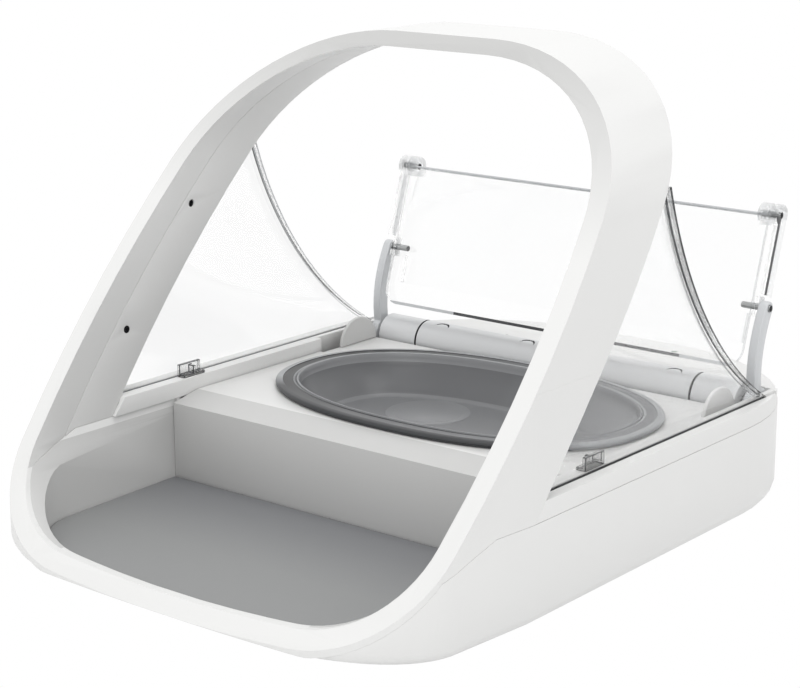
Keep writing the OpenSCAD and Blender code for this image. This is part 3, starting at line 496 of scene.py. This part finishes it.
# Side windows and their catches: clear polycarbonate, injection moulded and left glossy.
# Its IOR is 1.585. Seen flat it nearly vanishes, while the thick cut edges gather grey from inside the sheet.
def clear_plastic(name, tint, alpha, gloss, haze_mm):
    """A clear polycarbonate with a faint haze in its gloss."""
    mat, skin, where = fresh(name, Base_Color=linear(tint), IOR=1.585, Transmission_Weight=1.0, Alpha=alpha)
    haze = add(mat, "ShaderNodeTexNoise", {"Scale": 1 / (haze_mm * MM), "Detail": 3.0}, Vector=where)
    rub = add(mat, "ShaderNodeMapRange", {"To Min": gloss, "To Max": gloss + 0.05}, Value=haze.outputs["Fac"])
    link(skin, Roughness=rub.outputs[0])
    return mat


clear_sheet = clear_plastic("clear_polycarbonate", "#fbfcfc", alpha=0.1, gloss=0.02, haze_mm=30)
# The edges are the same plastic, drawn as a grey face because the light that gathers in them is too fine to
# trace.
sheet_edge = clear_plastic("polycarbonate_edge", "#a9acae", alpha=0.62, gloss=0.08, haze_mm=4)
dark_edge, shade_edge, pale_edge = [
    moulded("polycarbonate_" + tone, colour, ior=1.585, gloss=0.14, grain_mm=2.0, relief=0.03)
    for tone, colour in (("shaded_edge", "#3a3b3d"), ("grey_edge", "#8b8d90"), ("pale_edge", "#bfc1c3"))]


def cut_across(piece, on_plane, normal, test=None):
    """Cuts a piece's faces along a plane, or only those whose centre, in millimetres, passes the test."""
    open_for_editing(piece)
    bpy.ops.mesh.select_mode(type="FACE")
    bpy.ops.mesh.select_all(action="DESELECT" if test else "SELECT")
    if test:
        for face in bmesh.from_edit_mesh(piece.data).faces:
            if test(face.calc_center_median() / MM):
                face.select_set(True)
    bpy.ops.mesh.bisect(plane_co=on_plane, plane_no=normal)
    bpy.ops.object.mode_set(mode="OBJECT")
    bpy.ops.object.shade_smooth_by_angle(angle=math.radians(28))


# Below the rail's top a window sits in its groove, and that foot is painted as the groove's shadow: dark on the
# right, grey on the left. Its rear edge is split along its thickness, because the light gathers at the sheet's
# two faces. The left one also changes its grey part way up.
rail_z = 47.8
groove_z = rail_z - 0.4
left_foot_z, left_change_z = 50, 64
inner_x = 107.2
for side, s, outer_x in (("left", -1, 108.6), ("right", 1, 109.3)):
    window = clean_copy("window_" + side, side + "_window", 0.2,
                        clear_sheet, sheet_edge, dark_edge, shade_edge, pale_edge)
    cut_across(window, (0, 0, groove_z * MM), (0, 0, 1))
    finish_where(window, 1, lambda c, n: abs(n.x) < 0.5)
    finish_where(window, 2 if s > 0 else 3, lambda c, n: c.z < groove_z)
    for x in (inner_x, outer_x):
        cut_across(window, (s * x * MM, 0, 0), (1, 0, 0))
    if s > 0:
        finish_where(window, 2, lambda c, n: n.y > 0.3 and c.z > rail_z + 1.5 and
                     (c.x < inner_x or c.x > outer_x))
    else:
        finish_where(window, 2, lambda c, n: n.y > 0.3 and c.z > left_change_z and c.x < -outer_x)
        finish_where(window, 3, lambda c, n: n.y > 0.3 and left_foot_z < c.z < left_change_z and
                     c.x < -outer_x)
        finish_where(window, 4, lambda c, n: n.y > 0.3 and c.z > left_foot_z and c.x > -inner_x)
catch_clear = clear_plastic("clear_polycarbonate_catch", "#fafbfb", alpha=0.3, gloss=0.03, haze_mm=6)
catches = clean_copy("window_clips", "window_catches", 0.35, catch_clear, dark_edge)
finish_where(catches, 1, lambda c, n: max(abs(n.x), abs(n.y), abs(n.z)) < 0.98)


# The barrel: three pale grey ABS sleeves that hide the lid's shaft, snapped down on the base behind the tray.
# Their satin finish is the same as the buttons', and crescent notches in the middle sleeve take a fingertip.
sleeve_abs = moulded("grey_barrel_abs", "#c8c9ca", ior=1.53, gloss=0.32, grain_mm=0.5, relief=0.05)
# The joints between the sleeves, and the notches, are painted dark as painted shade.
joint_shade = moulded("barrel_joint_shade", "#3c3d3f", ior=1.53, gloss=0.6, grain_mm=0.5, relief=0.05)
shaft_y, shaft_z, notch_r = 95.5, 42.4, 9.1
joint_x, joint_reach = 75.5, 1.5
for part in ("barrel_middle", "barrel_left", "barrel_right"):
    sleeve = clean_copy(part, part + "_sleeve", 0.35, sleeve_abs, joint_shade)
    finish_where(sleeve, 1, lambda c, n: abs(n.x) > 0.5 and abs(abs(c.x) - joint_x) < joint_reach or
                 abs(c.x) < joint_x - joint_reach and math.hypot(c.y - shaft_y, c.z - shaft_z) < notch_r and
                 n.x * n.x < 0.8)


# The tray lifts out for washing. It is white ABS like the shells, with a half-disc finger grip at each rear
# corner. The grips and the rim round the bowl's hole have soft moulded edges.
tray_front, tray_deck = -33, 41.5
tray = clean_copy("bowl_tray", "bowl_tray_moulding", 0.7, white_abs, painted_shade_abs)
# The tray's front wall under the deck is painted in the greyer white as painted shade.
finish_where(tray, 1, lambda c, n: c.y < tray_front and c.z < tray_deck)
grips = clean_copy("tray_grips", "tray_finger_grips", 0.7, white_abs, painted_shade_abs)
# The left grip is painted in the greyer white as painted shade.
finish_where(grips, 1, lambda c, n: c.x < 0)


# The bowl: one deep oval dish moulded in smooth grey polypropylene, with two faint round steps in its floor.
# Polypropylene has an IOR of 1.49 and a soft, slightly greasy gloss.
flange, squareness = 2.8, 2.28
bowl_low, bowl_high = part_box("bowl")
half_long = (bowl_high[0] - bowl_low[0]) / 2 / MM - flange
half_wide = (bowl_high[1] - bowl_low[1]) / 2 / MM - flange
bowl_y = (bowl_high[1] + bowl_low[1]) / 2 / MM


def edge(inset, z):
    """A turn of the profile: how far it lies inside the bowl's edge, and its height."""
    return half_long - inset, half_wide - inset, z


def inside(c, inset):
    """Whether a point lies inside the turn that far in from the bowl's edge."""
    along, across = abs(c.x) / (half_long - inset), abs(c.y - bowl_y) / (half_wide - inset)
    return along ** squareness + across ** squareness < 1


def oval_shape(name, profile, finish):
    """A dish or ring whose plan is a squarish oval: one loop of edges is drawn out along the profile."""
    steps = 96
    a, b, z = profile[0]
    bpy.ops.object.select_all(action="DESELECT")
    bpy.ops.mesh.primitive_circle_add(vertices=steps, radius=1, fill_type="NOTHING", location=(0, 0, 0))
    piece = bpy.context.object
    piece.name = name
    for i, point in enumerate(piece.data.vertices):
        c, s = math.cos(2 * math.pi * (i + 0.5) / steps), math.sin(2 * math.pi * (i + 0.5) / steps)
        point.co = (a * MM * math.copysign(abs(c) ** (2 / squareness), c),
                    b * MM * math.copysign(abs(s) ** (2 / squareness), s), z * MM)
    open_for_editing(piece)
    bpy.ops.mesh.select_mode(type="EDGE")
    bpy.ops.mesh.select_all(action="SELECT")
    for next_a, next_b, next_z in profile[1:]:
        bpy.ops.mesh.extrude_edges_move(TRANSFORM_OT_translate={"value": (0, 0, (next_z - z) * MM)})
        bpy.ops.transform.resize(value=(next_a / a, next_b / b, 1), center_override=(0, 0, next_z * MM))
        a, b, z = next_a, next_b, next_z
    bpy.ops.mesh.select_all(action="SELECT")
    bpy.ops.mesh.remove_doubles(threshold=0.00002)
    bpy.ops.mesh.select_all(action="DESELECT")
    bpy.ops.mesh.select_non_manifold()
    if any(line.is_boundary for line in bmesh.from_edit_mesh(piece.data).edges):
        bpy.ops.mesh.fill_holes(sides=steps)
    bpy.ops.mesh.select_all(action="SELECT")
    bpy.ops.mesh.normals_make_consistent(inside=False)
    bpy.ops.object.mode_set(mode="OBJECT")
    piece.data.transform(Matrix.Translation((0, bowl_y * MM, 0)))
    piece.data.materials.append(finish)
    bpy.ops.object.shade_smooth_by_angle(angle=math.radians(40))
    return piece


# The profile runs from the floor up the wall to the rim, out over the flange and back underneath.
grey_polypropylene = moulded("grey_moulded_polypropylene", "#757678", ior=1.49, gloss=0.3, grain_mm=0.8,
                             relief=0.03)
bowl = oval_shape("oval_bowl", [
    edge(22.5, 28), edge(21.2, 28.1), edge(20.2, 28.5),
    edge(19, 29.3), edge(17.8, 30.4), edge(15, 32.8), edge(11.6, 35.8), edge(8.6, 39), edge(7.2, 41.2),
    edge(6.7, 43), edge(6.5, 44.5), edge(6.2, 44.9), edge(5.7, 44.95), edge(5.35, 44.6), edge(5.25, 43.3),
    edge(-2.4, 43.3), edge(-2.8, 43), edge(-2.8, 42.3), edge(-2.6, 42.1), edge(4.6, 42.1), edge(4.85, 41.6),
    edge(5.2, 40.1), edge(8.9, 35.6), edge(12.8, 31), edge(16.4, 26.8), edge(18.2, 24.6), edge(20, 23.8),
    edge(22, 23.6)
], grey_polypropylene)
# The wall of the dish is painted a shade deeper than its floor at the left and paler at the right, as painted
# light and shade, and a strip at its top edge is painted paler all round as a painted highlight.
bowl_wall_painted_light = shaded("grey_polypropylene_wall", 1.49, 0.3, "X", (-10, "#636466"), (75, "#8f9092"))
# The outer rim of the seal and of the bowl's flange is painted dark at the front as painted shade and pale
# towards the rear as a painted highlight.
seal_rim_painted_shade = shaded("silicone_outer_rim", 1.41, 0.34, "Y", (-14, "#3a3b3d"), (-3, "#9b9d9f"))
pale_polypropylene = moulded("pale_polypropylene", "#838486", ior=1.49, gloss=0.3, grain_mm=0.8, relief=0.03)
for finish in (bowl_wall_painted_light, seal_rim_painted_shade, pale_polypropylene):
    bowl.data.materials.append(finish)
finish_where(bowl, 1, lambda c, n: 29 < c.z < 44 and inside(c, 6.4) and not inside(c, 19.6))
finish_where(bowl, 2, lambda c, n: c.z > 42 and not inside(c, 0))
finish_where(bowl, 3, lambda c, n: c.z > 41 and inside(c, 5.9) and not inside(c, 9))
# The two round steps are painted paler than the floor, as a painted reflection.
step_x, step_y, step_thick = -29, 37, 1.2
for radius, top_z in ((19, 28.1), (15.5, 28.18)):
    bpy.ops.object.select_all(action="DESELECT")
    bpy.ops.mesh.primitive_cylinder_add(vertices=64, radius=radius * MM, depth=step_thick * MM,
                                        location=(step_x * MM, step_y * MM, (top_z - step_thick / 2) * MM))
    disc = bpy.context.object
    bpy.ops.object.transform_apply(location=True)
    disc.data.materials.append(pale_polypropylene)
    eased(disc, 0.05)
    bowl.select_set(True)
    bpy.context.view_layer.objects.active = bowl
    bpy.ops.object.join()
stand_for(bowl, "bowl")

# A soft seal is moulded on to the bowl's flange, where the closed lid rests. It is dark grey silicone rubber.
# Silicone has an IOR of 1.41 and a satin skin. Its two edges are painted dark at the front and pale towards the
# rear, and its top darker at the left and paler at the right, as painted light and shade.
seal_edge_painted_light = shaded("pale_silicone_edge", 1.41, 0.34, "Y", (-25, "#3f4042"), (20, "#97999b"))
seal_skin_painted_shading = shaded("dark_silicone_seal", 1.41, 0.34, "X", (-70, "#2c2d2e"), (40, "#6c6d6f"))
seal = oval_shape("bowl_rim_seal", [
    edge(5.15, 43.35), edge(5.15, 44.45), edge(4.9, 44.7), edge(4.2, 44.75), edge(4, 44.5), edge(-0.3, 44.5),
    edge(-0.5, 44.75), edge(-2.6, 44.7), edge(-3.3, 44.35), edge(-3.6, 43.8), edge(-3.6, 43.4),
    edge(-3.4, 43.33), edge(5.15, 43.35)
], seal_skin_painted_shading)
for finish in (seal_edge_painted_light, seal_rim_painted_shade):
    seal.data.materials.append(finish)
finish_where(seal, 1, lambda c, n: inside(c, 4.1))
finish_where(seal, 2, lambda c, n: not inside(c, -0.4))
stand_for(seal, "bowl_seal")

# The mat drops into the front well. It is a mid-grey thermoplastic rubber, moulded with a dry, fine-grained
# top. The grain kills nearly all shine, so it shows only its grey, which is painted paler towards the front,
# where the daylight reaches in, as painted light.
mat_rubber_painted_shade = shaded("grey_thermoplastic_rubber", 1.5, 0.62, "Y", (-48, "#76777a"), (-110, "#858686"))
clean_copy("mat", "well_mat", 0.7, mat_rubber_painted_shade)


# The lid: two clear polycarbonate panels on a fold hinge, moulded with knuckles and side flanges.
# The panels nearly vanish against the white wall, and only their edges, knuckles and pins draw them.
knuckle_clear = clear_plastic("clear_polycarbonate_knuckle", "#d5d8da", alpha=0.4, gloss=0.03, haze_mm=6)
pins_low, pins_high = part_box("fold_pins")
hinge_y, hinge_z = (pins_low[1] + pins_high[1]) / 2 / MM, (pins_low[2] + pins_high[2]) / 2 / MM
hinge = Vector((0, hinge_y, hinge_z))
lean = math.radians(17.7)
out_of_sheet = Vector((0, math.cos(lean), -math.sin(lean)))
up_the_sheet = Vector((0, math.sin(lean), math.cos(lean)))


def up(c):
    """How far up the leaning sheet a point lies from the fold hinge."""
    return (c - hinge).dot(up_the_sheet)


def out(c):
    """How far out of the leaning sheet a point lies from the fold hinge."""
    return (c - hinge).dot(out_of_sheet)


# A panel's bottom edge is a pale strip, dark between two places, and its edge at the fold is pale between
# the knuckles, which are clear. The right flange's outer side is split along the middle of its thickness,
# dark on one half and clear on the other.
bottom, fold, mid_sheet = -65.6, -0.7, 0.3
dark_left, dark_right = -55, 68
knuckle_x, bottom_half_wide, flange_x = 93, 99, 101
knuckle_r = 5.3
for part, name in (("lid_rear", "lid_upper_panel"), ("lid_front", "lid_folded_panel")):
    panel = clean_copy(part, name, 0.25,
                       clear_sheet, sheet_edge, dark_edge, knuckle_clear, pale_edge, angle=28)
    for height in (bottom, fold):
        cut_across(panel, (hinge + up_the_sheet * height) * MM, up_the_sheet)
    cut_across(panel, (hinge - out_of_sheet * mid_sheet) * MM, out_of_sheet)
    for x in (dark_left, dark_right):
        cut_across(panel, (x * MM, 0, 0), (1, 0, 0), lambda c: up(c) < bottom)
    finish_where(panel, 1, lambda c, n: abs(n.dot(out_of_sheet)) < 0.6 and n.dot(up_the_sheet) > -0.7)
    finish_where(panel, 4, lambda c, n: up(c) > fold - 0.1 and abs(c.x) < knuckle_x)
    finish_where(panel, 4, lambda c, n: up(c) < bottom and abs(c.x) < bottom_half_wide)
    finish_where(panel, 2, lambda c, n: n.x > 0.8 and c.x > flange_x and out(c) < -mid_sheet or
                 up(c) < bottom and dark_left < c.x < dark_right)
    finish_where(panel, 3, lambda c, n: n.x > 0.8 and c.x > flange_x and out(c) > -mid_sheet or
                 abs(c.x) > knuckle_x and math.hypot(c.y - hinge_y, c.z - hinge_z) < knuckle_r)

# The arms are grey ABS with a soft edge all round. They carry the lid from the shaft's ends.
arm_abs = moulded("grey_arm_abs", "#bfc1c3", ior=1.53, gloss=0.3, grain_mm=0.5, relief=0.05)
for side in ("left", "right"):
    clean_copy("arm_" + side, side + "_lid_arm", 0.8, arm_abs)

# The pins are bright steel pressed into the panels and arms, with sawn ends that are blackened against rust.
for part, name in (("fold_pins", "fold_hinge_pins"), ("arm_pins", "arm_hinge_pins")):
    pins = clean_copy(part, name, 0.25, zinc, black_oxide)
    finish_where(pins, 1, lambda c, n: abs(n.x) > 0.3)
